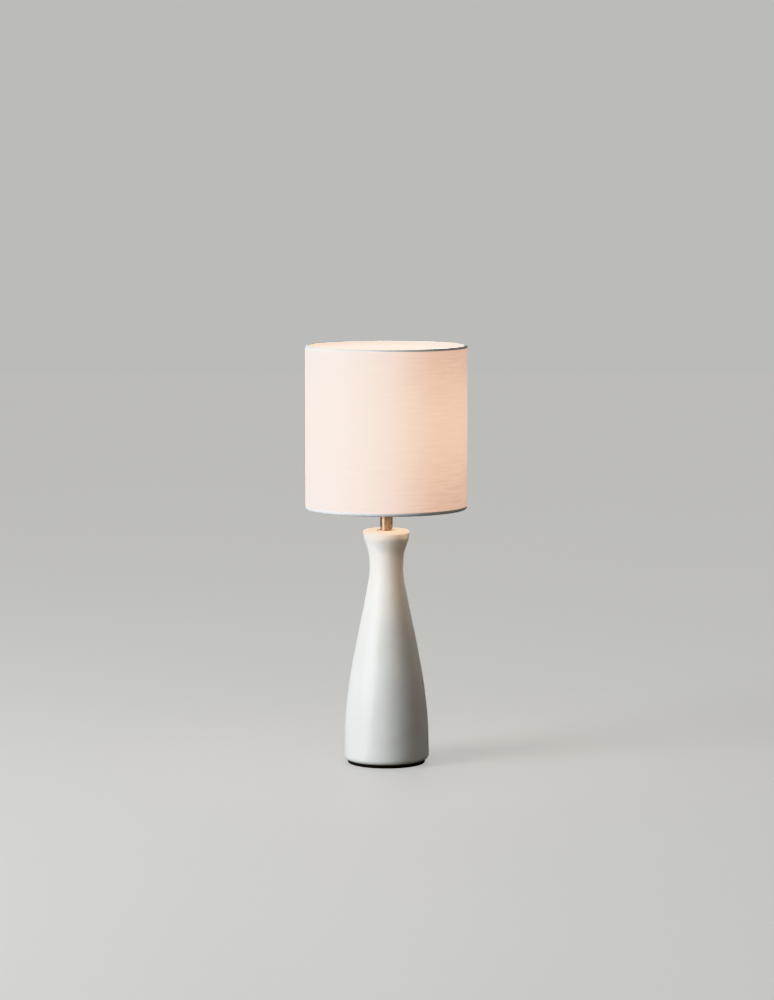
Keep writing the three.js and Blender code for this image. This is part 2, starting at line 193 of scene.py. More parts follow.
def slope(before, at, after):
    """The direction in which a curve through three points passes the middle one."""
    come, go = at - before, after - at
    return (come.normalized() * go.length + go.normalized() * come.length) / (come.length + go.length)


def through(points, steps):
    """A smooth curve through the points (Hermite), with steps pieces between each two."""
    line = [Vector(p) for p in points]
    ends = [line[0] * 2 - line[1], *line, line[-1] * 2 - line[-2]]
    curve = []
    for a, b, c, d in zip(ends, ends[1:], ends[2:], ends[3:]):
        for i in range(steps):
            t = i / steps
            tangent_b, tangent_c = slope(a, b, c) * (c - b).length, slope(b, c, d) * (c - b).length
            point = b * (2 * t**3 - 3 * t**2 + 1) + tangent_b * (t**3 - 2 * t**2 + t)
            point += c * (3 * t**2 - 2 * t**3) + tangent_c * (t**3 - t**2)
            curve.append(tuple(point))
    return [*curve, tuple(line[-1])]


def arc(centre_r, centre_z, radius, start, end, steps):
    """Points on a round stretch of profile, with its angles in degrees."""
    turn = [math.radians(start + (end - start) * i / steps) for i in range(steps + 1)]
    return [(centre_r + radius * math.cos(a), centre_z + radius * math.sin(a)) for a in turn]


vessel_low, vessel_high = millimetres("ceramic_body")
foot, lip = vessel_low.z, vessel_high.z
belly_radius = radius_of(vessel_low, vessel_high)
belly_level = foot + 9
neck_radius, neck_drop = 16.6, 38
neck_level = lip - neck_drop
lip_radius, lip_fillet = 23.0, 3.0
foot_fillet = 5.0
wall = 4.5
recess_radius, ledge_radius, ledge = 32.0, 26.0, foot + 17
pipe_hole = 5.3
seat_radius, seat_depth = 10.2, 1.8


def vessel_side(inset):
    """The outline from the belly up the long taper to the neck, and out to the lip's edge. Its
    points are shares of the way in to the neck (or out to the lip), and of the way up."""
    taper = [(1, 0), (0.955, 0.175), (0.785, 0.385), (0.505, 0.605), (0.182, 0.83), (0, 1)]
    flare = [(0.03, 0.2), (0.17, 0.44), (0.58, 0.68), (0.93, 0.87), (1, 1)]
    rim = lip - lip_fillet
    outline = []
    for shares, widest, low, high in (
        (taper, belly_radius, belly_level, neck_level),
        (flare, lip_radius, neck_level, rim),
    ):
        for share, rise in shares:
            radius = neck_radius + share * (widest - neck_radius)
            outline.append((radius - inset, low + rise * (high - low)))
    return through(outline, 8)


ceiling = lip - lip_fillet - wall
inside = [p for p in vessel_side(wall) if ledge + wall < p[1] < lip - neck_drop / 2][::-1]
vessel_profile = [
    *arc(belly_radius - foot_fillet, foot + foot_fillet, foot_fillet, -90, 0, 10),
    *vessel_side(0),
    *arc(lip_radius - lip_fillet, lip - lip_fillet, lip_fillet, 0, 84, 10)[1:],
    (lip_radius - lip_fillet - 4, lip - 0.12),
    (seat_radius + 0.9, lip - 0.02),
    (seat_radius + 0.25, lip - 0.18),
    (seat_radius, lip - 0.6),
    (seat_radius, lip - seat_depth),
    (pipe_hole, lip - seat_depth),
    (pipe_hole, ceiling),
    (inside[0][0], ceiling - inside[0][0] + pipe_hole),
    *inside,
    (inside[-1][0], ledge + wall),
    (ledge_radius + 1, ledge + wall),
    (ledge_radius, ledge + wall - 1),
    (ledge_radius, ledge),
    (recess_radius, ledge),
    (recess_radius, foot + 0.8),
    (recess_radius + 0.8, foot),
]


def hand_finished(radius, height, angle):
    """The slight unevenness of a cast and dipped pot, a tenth of a millimetre or so."""
    flow = noise.noise(Vector((math.cos(angle) * 1.4, math.sin(angle) * 1.4, height * 0.03)))
    return radius * (1 + 0.0022 * flow), height


vessel = turned("vessel", vessel_profile, 160, hand_finished, smooth=50)

# the cord hole at the back, drilled through the foot's wall before firing
inlet_low, inlet_high = millimetres("cord_grommet")
inlet_level = (inlet_low.z + inlet_high.z) / 2
drill_radius, drill_length = 4.95, 24
bpy.ops.mesh.primitive_cylinder_add(
    vertices=48,
    radius=drill_radius * MM,
    depth=drill_length * MM,
    location=(0, (inlet_low.y + inlet_high.y) / 2 * MM, inlet_level * MM),
    rotation=(math.pi / 2, 0, 0),
)
drill = bpy.context.object
cut = vessel.modifiers.new("cord_hole", "BOOLEAN")
cut.object = drill
cut.solver = "EXACT"
depsgraph = bpy.context.evaluated_depsgraph_get()
drilled = bpy.data.meshes.new_from_object(vessel.evaluated_get(depsgraph))
vessel.modifiers.clear()
vessel.data = drilled
for face in drilled.polygons:
    face.use_smooth = True
drilled.set_sharp_from_angle(angle=math.radians(50))
bpy.data.objects.remove(drill)

# Satin stoneware glaze: warm white over a pale clay body, IOR 1.5, with a soft wide gleam.
# Bare clay shows on the foot ring.
glaze = new_material("satin_white_glaze")
where = node(glaze, "TexCoord").outputs["Object"]
height = node(glaze, "SeparateXYZ", {"Vector": where}).outputs["Z"]
drift = node(glaze, "TexNoise", {"Vector": where, "Scale": 1 / 0.045, "Detail": 4.0, "Roughness": 0.55})
cloud = node(glaze, "ValToRGB", {"Fac": drift}, ramp=((0.3, "#e5e6e4"), (0.7, "#eeefee")))
pits = node(glaze, "TexVoronoi", {"Vector": where, "Scale": 1 / 0.011})
pit_marks = node(
    glaze,
    "MapRange",
    {"Value": pits.outputs["Distance"], "From Min": 0.035, "From Max": 0.0, "To Min": 0.0, "To Max": 0.35},
)
specked = node(glaze, "MixRGB", {"Fac": pit_marks, "Color1": cloud, "Color2": linear("#b9b2a6")})
glazed_from, bare_below = (foot + 1.4) * MM, (foot + 0.6) * MM
bare = node(glaze, "MapRange", {"Value": height, "From Min": glazed_from, "From Max": bare_below})
surface = node(glaze, "MixRGB", {"Fac": bare, "Color1": specked, "Color2": linear("#cfc5b4")})
satin = node(
    glaze,
    "MapRange",
    {"Value": drift, "From Min": 0.3, "From Max": 0.7, "To Min": 0.30, "To Max": 0.42},
)
dry = node(glaze, "MapRange", {"Value": bare, "To Min": satin, "To Max": 0.85})
orange_peel = node(glaze, "TexNoise", {"Vector": where, "Scale": 1 / 0.0035, "Detail": 2.0})
waves = node(glaze, "TexNoise", {"Vector": where, "Scale": 1 / 0.022, "Detail": 1.0})
ripple = node(glaze, "Bump", {"Strength": 0.35, "Distance": 0.0006, "Height": waves})
relief = node(
    glaze,
    "Bump",
    {"Strength": 0.10, "Distance": 0.0002, "Height": orange_peel, "Normal": ripple},
)
shader = node(
    glaze,
    "BsdfPrincipled",
    {
        "Base Color": surface,
        "Roughness": dry,
        "IOR": 1.5,
        "Coat Weight": 0.25,
        "Coat Roughness": 0.25,
        "Normal": relief,
    },
)
node(glaze, "OutputMaterial", {"Surface": shader})
stands_for(vessel, glaze, "lamp", "glazed_ceramic", "ceramic_body")

# ---------------------------------------------------------------- cord inlet
# A soft PVC bush pressed into the drilled hole, with a flange on both sides of the wall, so that
# the supply cord doesn't rub on the ceramic.

# Soft PVC: near-black, a little less matt than the foam, faintly marked by its mould.
soft_pvc = new_material("soft_pvc")
where = node(soft_pvc, "TexCoord").outputs["Object"]
smudge = node(soft_pvc, "TexNoise", {"Vector": where, "Scale": 1 / 0.004, "Detail": 3.0})
tone = node(soft_pvc, "ValToRGB", {"Fac": smudge}, ramp=((0.0, "#191818"), (1.0, "#2b2a29")))
wear = node(soft_pvc, "MapRange", {"Value": smudge, "To Min": 0.55, "To Max": 0.75})
relief = node(soft_pvc, "Bump", {"Strength": 0.2, "Distance": 0.0001, "Height": smudge})
shader = node(soft_pvc, "BsdfPrincipled", {"Base Color": tone, "Roughness": wear, "Normal": relief})
node(soft_pvc, "OutputMaterial", {"Surface": shader})

bush_bore, bush_sleeve, bush_flange, flange_thick = 3.25, 4.65, 6.25, 1.5
bush_profile = rounded(
    [
        (bush_bore, inlet_low.y),
        (bush_flange, inlet_low.y),
        (bush_flange, inlet_low.y + flange_thick),
        (bush_sleeve, inlet_low.y + flange_thick),
        (bush_sleeve, inlet_high.y - flange_thick),
        (bush_flange, inlet_high.y - flange_thick),
        (bush_flange - 0.5, inlet_high.y),
        (bush_bore, inlet_high.y),
    ],
    0.45,
)
bush = turned("cord_bush", bush_profile, 64)
# turned about Z, then laid along Y at the hole's level
for vertex in bush.data.vertices:
    x, y, z = vertex.co
    vertex.co = (x, z, inlet_level * MM - y)
stands_for(bush, soft_pvc, "lamp", "black_rubber", "cord_grommet")

# ---------------------------------------------------------------- foot hardware and pipe
# The zinc-plated pipe runs from the foot to the holder. A steel disc, a split washer and a nut
# in the recess pull the pipe down and so clamp the vessel, the neck tube and the holder together.


def keeps_shape(material, *nodes):
    """Gives CAD nodes whose shape is already right their material."""
    for name in nodes:
        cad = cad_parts[name]
        cad.data.materials.clear()
        cad.data.materials.append(material)


# Zinc plating: cool grey metal with the cloudy spangle of a barrel-plated part, 2 mm across.
zinc = new_material("zinc_plated_steel")
where = node(zinc, "TexCoord").outputs["Object"]
spangle = node(zinc, "TexVoronoi", {"Vector": where, "Scale": 1 / 0.0022})
spangle = spangle.outputs["Distance"]
tone = node(zinc, "ValToRGB", {"Fac": spangle}, ramp=((0.0, "#9b9fa3"), (1.0, "#bcc0c2")))
wear = node(zinc, "MapRange", {"Value": spangle, "To Min": 0.32, "To Max": 0.5})
scratch = node(zinc, "TexNoise", {"Vector": where, "Scale": 1 / 0.0009, "Detail": 2.0})
relief = node(zinc, "Bump", {"Strength": 0.15, "Distance": 0.00005, "Height": scratch})
shader = node(
    zinc,
    "BsdfPrincipled",
    {"Base Color": tone, "Metallic": 1.0, "Roughness": wear, "Normal": relief},
)
node(zinc, "OutputMaterial", {"Surface": shader})
keeps_shape(zinc, "base_plate", "foot_lock_washer", "foot_nut")
keeps_shape(zinc, "holder_grub_screw", "live_terminal_screw", "neutral_terminal_screw")


def thread(pitch, depth, low, high, outward=True):
    """A shape for turned(): a right-hand screw thread cut into the wall between two levels. It
    cuts into an outer wall, or outward is False for the wall of a bore."""

    def cut_thread(radius, height, angle):
        if not low < height < high:
            return radius, height
        fade = min(1, (height - low) / pitch, (high - height) / pitch)
        groove = 0.5 - 0.5 * math.cos(2 * math.pi * (height / pitch - angle / (2 * math.pi)))
        cut_in = depth * groove * fade
        return (radius - cut_in if outward else radius + cut_in), height

    return cut_thread


def wall_line(radius, low, high, step):
    """Points up (or down) a straight wall, close enough together to carry a thread."""
    count = max(1, round(abs(high - low) / step))
    return [(radius, low + (high - low) * i / count) for i in range(count + 1)]


pipe_low, pipe_high = millimetres("threaded_pipe")
pipe_radius, pipe_bore, pipe_pitch = 5.0, 4.0, 1.0
pipe_cut = thread(pipe_pitch, 0.45, pipe_low.z, pipe_high.z)
pipe = turned(
    "pipe",
    [
        *wall_line(pipe_radius, pipe_low.z, pipe_high.z, pipe_pitch / 4),
        *wall_line(pipe_bore, pipe_high.z, pipe_low.z, 20),
    ],
    32,
    lambda r, z, a: pipe_cut(r, z, a) if r > pipe_bore + 0.1 else (r, z),
)
stands_for(pipe, zinc, "lamp", "zinc_steel", "threaded_pipe")

# ---------------------------------------------------------------- lip washer and neck tube
# A thin rubber gasket and a pressed washer lie in a seat in the lip, flush with it. The neck
# tube stands on the washer and hides the pipe: drawn brass, brushed round, then nickel plated.


def block(inner, outer, low, high):
    """The square outline of a ring between two radii and two levels."""
    return [(inner, low), (outer, low), (outer, high), (inner, high)]


gasket_low, gasket_high = millimetres("lip_gasket")
gasket_radius = radius_of(gasket_low, gasket_high)
washer_foot = gasket_high.z + 0.1
gasket_outline = block(pipe_hole, gasket_radius, lip - seat_depth, washer_foot)
gasket = turned("gasket", rounded(gasket_outline, 0.15), 64)
stands_for(gasket, soft_pvc, "lamp", "black_rubber", "lip_gasket")

# Satin nickel: a warm grey metal brushed round, with grain 0.15 mm wide that is drawn at 0.4 mm
# to show. The grain draws reflections out along the tube, so it picks up the glow from inside
# the shade above it.
nickel = new_material("satin_nickel_plate")
where = node(nickel, "TexCoord").outputs["Object"]
round_it = node(nickel, "Mapping", {"Vector": where, "Scale": (1 / 0.02, 1 / 0.02, 1 / 0.0004)})
grain = node(nickel, "TexNoise", {"Vector": round_it, "Scale": 1.0, "Detail": 3.0})
tone = node(nickel, "ValToRGB", {"Fac": grain}, ramp=((0.35, "#9a897c"), (0.65, "#b3a295")))
wear = node(nickel, "MapRange", {"Value": grain, "To Min": 0.28, "To Max": 0.40})
relief = node(nickel, "Bump", {"Strength": 0.08, "Distance": 0.00005, "Height": grain})
shader = node(
    nickel,
    "BsdfPrincipled",
    {
        "Base Color": tone,
        "Metallic": 1.0,
        "Roughness": wear,
        "Anisotropic": 0.8,
        "Anisotropic Rotation": 0.25,
        "Tangent": node(nickel, "Tangent", direction_type="RADIAL", axis="Z"),
        "Normal": relief,
    },
)
node(nickel, "OutputMaterial", {"Surface": shader})

washer_low, washer_high = millimetres("lip_washer")
washer_outline = block(pipe_hole, radius_of(washer_low, washer_high), washer_foot, washer_high.z)
washer = turned("washer", rounded(washer_outline, 0.35), 96)
stands_for(washer, nickel, "lamp", "satin_nickel", "lip_washer")

tube_low, tube_high = millimetres("cover_tube")
tube_radius, tube_wall = radius_of(tube_low, tube_high), 0.8
tube_outline = block(tube_radius - tube_wall, tube_radius, washer_high.z, tube_high.z)
tube = turned("neck_tube", rounded(tube_outline, 0.25), 96)
stands_for(tube, nickel, "lamp", "satin_nickel", "cover_tube")

# ---------------------------------------------------------------- lamp holder
# An E14 holder in white moulded thermoplastic: a cap screwed on the pipe and held by a grub
# screw, a shell with an M28 x 2 outer thread for the shade ring, and a steatite core inside.

# Moulded thermoplastic: warm white, with a fine spark-eroded grain.
moulding = new_material("moulded_thermoplastic")
where = node(moulding, "TexCoord").outputs["Object"]
mottle = node(moulding, "TexNoise", {"Vector": where, "Scale": 1 / 0.006, "Detail": 4.0})
tone = node(moulding, "ValToRGB", {"Fac": mottle}, ramp=((0.0, "#e2ded3"), (1.0, "#eeece5")))
spark = node(moulding, "TexNoise", {"Vector": where, "Scale": 1 / 0.0004, "Detail": 2.0})
relief = node(moulding, "Bump", {"Strength": 0.25, "Distance": 0.00004, "Height": spark})
wear = node(moulding, "MapRange", {"Value": mottle, "To Min": 0.38, "To Max": 0.52})
shader = node(
    moulding,
    "BsdfPrincipled",
    {"Base Color": tone, "Roughness": wear, "IOR": 1.5, "Normal": relief},
)
node(moulding, "OutputMaterial", {"Surface": shader})

cap_low, cap_high = millimetres("holder_cap")
shell_low, shell_high = millimetres("holder_shell")
shell_radius, shell_bore = 13.9, 11.9
shoulder_radius = radius_of(shell_low, shell_high)
shoulder_top = shell_low.z + 5
cap_neck = 8.5
cap_dome = [
    (pipe_hole, cap_low.z),
    (cap_neck, cap_low.z),
    (cap_neck, cap_low.z + 6),
    (shell_radius - 2, cap_low.z + 9),
    (shell_radius, cap_low.z + 12),
    (shell_radius, cap_high.z),
    (shell_bore, cap_high.z),
    (shell_bore, cap_low.z + 12.5),
    (shell_bore - 1, cap_low.z + 11.5),
    (pipe_hole, cap_low.z + 11.5),
]
cap = turned("holder_cap_moulding", rounded(cap_dome, 1.2, 5), 96)
stands_for(cap, moulding, "lamp", "holder_plastic", "holder_cap")

ring_pitch = 2.0
shoulder = [(shell_bore, shell_low.z), (shoulder_radius, shell_low.z), (shoulder_radius, shoulder_top)]
shell_profile = [
    *rounded(shoulder, 0.5)[4:],  # without the bore's corner
    *wall_line(shell_radius, shoulder_top, shell_high.z - 0.4, ring_pitch / 8),
    (shell_radius - 0.5, shell_high.z),
    (shell_bore + 0.2, shell_high.z),
    (shell_bore, shell_high.z - 0.3),
    (shell_bore, shell_low.z),
]
shell_cut = thread(ring_pitch, 0.8, shoulder_top + 0.5, shell_high.z - 0.2)
shell = turned(
    "holder_shell_moulding",
    shell_profile,
    96,
    lambda r, z, a: shell_cut(r, z, a) if shell_bore + 1 < r < shell_radius + 0.1 else (r, z),
)
stands_for(shell, moulding, "lamp", "holder_plastic", "holder_shell")

# Steatite: cream, unglazed, dry to the touch, with the faint grain of pressed powder.
steatite = new_material("steatite")
where = node(steatite, "TexCoord").outputs["Object"]
powder = node(steatite, "TexNoise", {"Vector": where, "Scale": 1 / 0.0007, "Detail": 4.0})
tone = node(steatite, "ValToRGB", {"Fac": powder}, ramp=((0.0, "#d3ccbc"), (1.0, "#e6e0d2")))
relief = node(steatite, "Bump", {"Strength": 0.3, "Distance": 0.00008, "Height": powder})
shader = node(steatite, "BsdfPrincipled", {"Base Color": tone, "Roughness": 0.7, "Normal": relief})
node(steatite, "OutputMaterial", {"Surface": shader})

core_low, core_high = millimetres("holder_core")
core_radius, core_cup, core_skirt = 11.2, 7.75, 10.35
core_floor = core_low.z + 4
core = turned(
    "holder_core_steatite",
    rounded(
        [
            (0, core_low.z),
            (core_radius, core_low.z),
            (core_radius, core_floor),
            (core_skirt, core_floor + 1),
            (core_skirt, core_high.z),
            (core_cup, core_high.z),
            (core_cup, core_floor),
            (0, core_floor),
        ],
        0.4,
    ),
    72,
)
stands_for(core, steatite, "lamp", "steatite", "holder_core")

# Brass strip, pressed: yellow metal, dulled by handling.
brass = new_material("pressed_brass")
where = node(brass, "TexCoord").outputs["Object"]
tarnish = node(brass, "TexNoise", {"Vector": where, "Scale": 1 / 0.003, "Detail": 4.0})
tone = node(brass, "ValToRGB", {"Fac": tarnish}, ramp=((0.3, "#a07c3c"), (0.7, "#d3ae62")))
wear = node(brass, "MapRange", {"Value": tarnish, "To Min": 0.45, "To Max": 0.22})
relief = node(brass, "Bump", {"Strength": 0.15, "Distance": 0.00006, "Height": tarnish})
shader = node(
    brass,
    "BsdfPrincipled",
    {"Base Color": tone, "Metallic": 1.0, "Roughness": wear, "Normal": relief},
)
node(brass, "OutputMaterial", {"Surface": shader})
keeps_shape(brass, "centre_contact", "live_terminal", "neutral_terminal")

bulb_pitch = 2.82
screw_low, screw_high = millimetres("screw_shell")
screw_bore, screw_outer = 6.95, 7.45
screw_cut = thread(bulb_pitch, 0.25, screw_low.z, screw_high.z, outward=False)
screw = turned(
    "screw_shell_brass",
    [
        *wall_line(screw_outer, screw_low.z, screw_high.z, 20),
        *wall_line(screw_bore, screw_high.z, screw_low.z, bulb_pitch / 8),
    ],
    64,
    lambda r, z, a: screw_cut(r, z, a) if r < screw_outer - 0.1 else (r, z),
)
stands_for(screw, brass, "lamp", "brass", "screw_shell")

# ---------------------------------------------------------------- shade ring
# The ring screws down on the holder's thread and presses the shade's hub on its shoulder. It is
# one moulding: a plain sleeve, threaded inside, and a ribbed flange for the fingers.

sleeve_low, sleeve_high = millimetres("shade_ring_sleeve")
sleeve_bore = shell_radius + 0.4
sleeve_radius = radius_of(sleeve_low, sleeve_high)
sleeve_cut = thread(ring_pitch, 0.7, sleeve_low.z, sleeve_high.z, outward=False)
sleeve_outline = block(sleeve_bore, sleeve_radius, sleeve_low.z, sleeve_high.z)
sleeve = turned(
    "ring_sleeve",
    [
        *rounded(sleeve_outline, 0.5)[4:-4],  # without the bore's corners
        *wall_line(sleeve_bore, sleeve_high.z, sleeve_low.z, ring_pitch / 8),
    ],
    96,
    lambda r, z, a: sleeve_cut(r, z, a) if r < sleeve_bore + 0.1 else (r, z),
)
stands_for(sleeve, moulding, "ring_lift", "holder_plastic", "shade_ring_sleeve")

grip_low, grip_high = millimetres("shade_ring_grip")
grip_radius = radius_of(grip_low, grip_high)
rib_count, rib_depth = 20, 0.8


def ribbed(radius, height, angle):
    """The finger ribs on the flange's edge, rounded and evenly spaced."""
    if radius < grip_radius - 1.6:
        return radius, height
    valley = 0.5 - 0.5 * math.tanh(3 * math.cos(rib_count * angle))
    return radius - rib_depth * valley, height


grip = turned(
    "ring_grip",
    rounded(
        [
            (sleeve_radius + 0.1, grip_low.z),
            (grip_radius, grip_low.z),
            (grip_radius, grip_high.z),
            (grip_radius - 2, grip_high.z),
            (sleeve_radius + 0.1, grip_high.z - 0.3),
        ],
        0.5,
    ),
    320,
    ribbed,
)
stands_for(grip, moulding, "ring", "holder_plastic", "shade_ring_grip")

# ---------------------------------------------------------------- shade frame
# Two rings and a three-armed spider of steel wire, spot-welded and powder-coated white. The
# spider is welded to the lower ring, and its flat hub slips over the holder's thread.


def swept(name, path, radius, sides=20):
    """A round wire along a path of points in mm, with a slightly rounded cut at each end."""
    made = bmesh.new()
    path = [Vector(p) for p in path]
    first, last = (path[1] - path[0]).normalized(), (path[-1] - path[-2]).normalized()
    past_end, end_share = 0.35, 0.55
    stations = [
        (path[0] - first * past_end, end_share),
        *[(p, 1.0) for p in path],
        (path[-1] + last * past_end, end_share),
    ]
    rings = []
    for i, (at, share) in enumerate(stations):
        before, after = stations[max(0, i - 1)][0], stations[min(len(stations) - 1, i + 1)][0]
        ahead = (after - before).normalized()
        across = ahead.cross(Vector((0, 1, 0)) if abs(ahead.y) < 0.9 else Vector((1, 0, 0))).normalized()
        up = across.cross(ahead)
        ring = []
        for j in range(sides):
            angle = 2 * math.pi * j / sides
            offset = across * math.cos(angle) + up * math.sin(angle)
            ring.append(made.verts.new((at + offset * radius * share) * MM))
        rings.append(ring)
    for low, high in zip(rings, rings[1:]):
        for j in range(sides):
            k = (j + 1) % sides
            made.faces.new((low[j], high[j], high[k], low[k]))
    made.faces.new(rings[0])
    made.faces.new(rings[-1][::-1])
    bmesh.ops.recalc_face_normals(made, faces=made.faces)
    mesh = bpy.data.meshes.new(name)
    made.to_mesh(mesh)
    made.free()
    for face in mesh.polygons:
        face.use_smooth = True
    mesh.set_sharp_from_angle(angle=math.radians(50))
    piece = bpy.data.objects.new(name, mesh)
    bpy.context.scene.collection.objects.link(piece)
    return piece


# Powder coat on wire: warm white, semi-gloss, with the soft orange peel of baked powder.
powder_coat = new_material("white_powder_coat")
where = node(powder_coat, "TexCoord").outputs["Object"]
peel = node(powder_coat, "TexNoise", {"Vector": where, "Scale": 1 / 0.0012, "Detail": 2.0})
tone = node(powder_coat, "ValToRGB", {"Fac": peel}, ramp=((0.0, "#e9e6df"), (1.0, "#f3f1eb")))
relief = node(powder_coat, "Bump", {"Strength": 0.3, "Distance": 0.00008, "Height": peel})
shader = node(powder_coat, "BsdfPrincipled", {"Base Color": tone, "Roughness": 0.38, "Normal": relief})
node(powder_coat, "OutputMaterial", {"Surface": shader})

shade_low, shade_high = millimetres("shade_fabric")
shade_radius = radius_of(shade_low, shade_high)
shade_foot, shade_top = shade_low.z, shade_high.z
wire_radius = 1.5
cloth_thick = 0.45
roll_radius = wire_radius + 0.3 + cloth_thick
wire_circle = shade_radius - roll_radius
low_wire, high_wire = shade_foot + roll_radius, shade_top - roll_radius

for name, level in (("bottom_wire", low_wire), ("top_wire", high_wire)):
    section = arc(wire_circle, level, wire_radius, 0, 330, 11)
    wire = turned(name + "_coated", section, 160)
    stands_for(wire, powder_coat, "shade", "coated_wire", name)

hub_low, hub_high = millimetres("spider_hub")
hub_bore, hub_radius = shell_radius + 0.6, radius_of(hub_low, hub_high)
hub = turned("hub_coated", rounded(block(hub_bore, hub_radius, hub_low.z, hub_high.z), 0.5), 96)
stands_for(hub, powder_coat, "shade", "coated_wire", "spider_hub")

arm_level = hub_high.z - wire_radius
arm_end = wire_circle - roll_radius - 0.3 - wire_radius
arm_bend = 18
for i in range(3):
    knee = arm_end - arm_bend
    start, corner, end = (knee, arm_level), (arm_end - arm_bend / 3, arm_level), (arm_end, low_wire)
    bend = []
    for step in range(1, 17):
        t = step / 16
        pull = 2 * t * (1 - t)
        bend.append([(1 - t) ** 2 * a + pull * b + t**2 * c for a, b, c in zip(start, corner, end)])
    straight = [(hub_radius - 0.2 + (knee - hub_radius) * j / 6, arm_level) for j in range(7)]
    turn = math.pi / 2 + i * 2 * math.pi / 3
    route = [(r * math.cos(turn), r * math.sin(turn), z) for r, z in [*straight, *bend]]
    arm = swept(f"arm_{i + 1}_coated", route, wire_radius)
    stands_for(arm, powder_coat, "shade", "coated_wire", f"spider_arm_{i + 1}")

# ---------------------------------------------------------------- bulb
# A small round LED bulb with an E14 screw cap, lit: a nickel-plated cap with a rolled thread,
# a moulded white housing, and an opal polycarbonate globe over the board of diodes.

tip_low, tip_high = millimetres("bulb_tip")
housing_low, housing_high = millimetres("bulb_housing")
globe_low, globe_high = millimetres("bulb_globe")
bulb_cap_low, bulb_cap_high = millimetres("bulb_screw_cap")
globe_share = 1.4  # how much of the globe stands above the housing, in radii
globe_radius = (globe_high.z - globe_low.z) / globe_share
globe_centre = globe_high.z - globe_radius

# Nickel plate on thin rolled brass: bright, cool, with fine rub marks from the holder.
bulb_nickel = new_material("bulb_nickel")
where = node(bulb_nickel, "TexCoord").outputs["Object"]
rub = node(bulb_nickel, "TexNoise", {"Vector": where, "Scale": 1 / 0.0015, "Detail": 4.0})
tone = node(bulb_nickel, "ValToRGB", {"Fac": rub}, ramp=((0.0, "#b3b0aa"), (1.0, "#d0cdc6")))
wear = node(bulb_nickel, "MapRange", {"Value": rub, "To Min": 0.18, "To Max": 0.36})
relief = node(bulb_nickel, "Bump", {"Strength": 0.1, "Distance": 0.00004, "Height": rub})
shader = node(
    bulb_nickel,
    "BsdfPrincipled",
    {"Base Color": tone, "Metallic": 1.0, "Roughness": wear, "Normal": relief},
)
node(bulb_nickel, "OutputMaterial", {"Surface": shader})

tip_radius = 2.6
tip_outline = [
    (0, tip_low.z),
    (1.2, tip_low.z + 0.1),
    (2.1, tip_low.z + 0.5),
    (tip_radius, tip_low.z + 1.1),
    (tip_radius, tip_high.z),
    (0, tip_high.z),
]
tip = turned("bulb_tip_contact", tip_outline, 48)
stands_for(tip, bulb_nickel, "bulb_lift", "bulb_nickel", "bulb_tip")

bulb_cap_radius = radius_of(bulb_cap_low, bulb_cap_high)
bulb_cut = thread(bulb_pitch, 0.7, bulb_cap_low.z + 0.6, bulb_cap_high.z - 2.2)
bulb_cap = turned(
    "bulb_cap_rolled",
    [
        (bulb_cap_radius - 0.9, bulb_cap_low.z),
        (bulb_cap_radius - 0.3, bulb_cap_low.z + 0.15),
        *wall_line(bulb_cap_radius, bulb_cap_low.z + 0.6, bulb_cap_high.z, bulb_pitch / 10),
        (bulb_cap_radius - 0.4, bulb_cap_high.z),
        (bulb_cap_radius - 1.3, bulb_cap_high.z - 2.4),
        (bulb_cap_radius - 1.3, bulb_cap_low.z + 0.8),
    ],
    72,
    lambda r, z, a: bulb_cut(r, z, a) if r > bulb_cap_radius - 0.1 else (r, z),
)
stands_for(bulb_cap, bulb_nickel, "bulb", "bulb_nickel", "bulb_screw_cap")

# Black vitrite glass round the tip: glossy, faintly wavy where it was poured.
vitrite = new_material("vitrite_glass")
where = node(vitrite, "TexCoord").outputs["Object"]
pour = node(vitrite, "TexNoise", {"Vector": where, "Scale": 1 / 0.003, "Detail": 2.0})
tone = node(vitrite, "ValToRGB", {"Fac": pour}, ramp=((0.0, "#0f0e13"), (1.0, "#1f1d26")))
relief = node(vitrite, "Bump", {"Strength": 0.3, "Distance": 0.0001, "Height": pour})
shader = node(
    vitrite,
    "BsdfPrincipled",
    {"Base Color": tone, "Roughness": 0.12, "IOR": 1.52, "Normal": relief},
)
node(vitrite, "OutputMaterial", {"Surface": shader})
keeps_shape(vitrite, "bulb_insulator")

rim_radius = radius_of(housing_low, housing_high)
housing_rise = housing_high.z - housing_low.z
housing_wall = 1.2
housing_line = through(
    [
        (bulb_cap_radius + 0.6, housing_low.z),
        (bulb_cap_radius + 1.6, housing_low.z + housing_rise * 0.25),
        ((bulb_cap_radius + rim_radius) / 2, housing_low.z + housing_rise * 0.62),
        (rim_radius, housing_high.z),
    ],
    8,
)
housing_inside = [(r - housing_wall, z) for r, z in housing_line[::-1]]
housing = turned("bulb_housing_moulding", [*housing_line, *housing_inside], 72)
stands_for(housing, moulding, "bulb", "bulb_plastic", "bulb_housing")

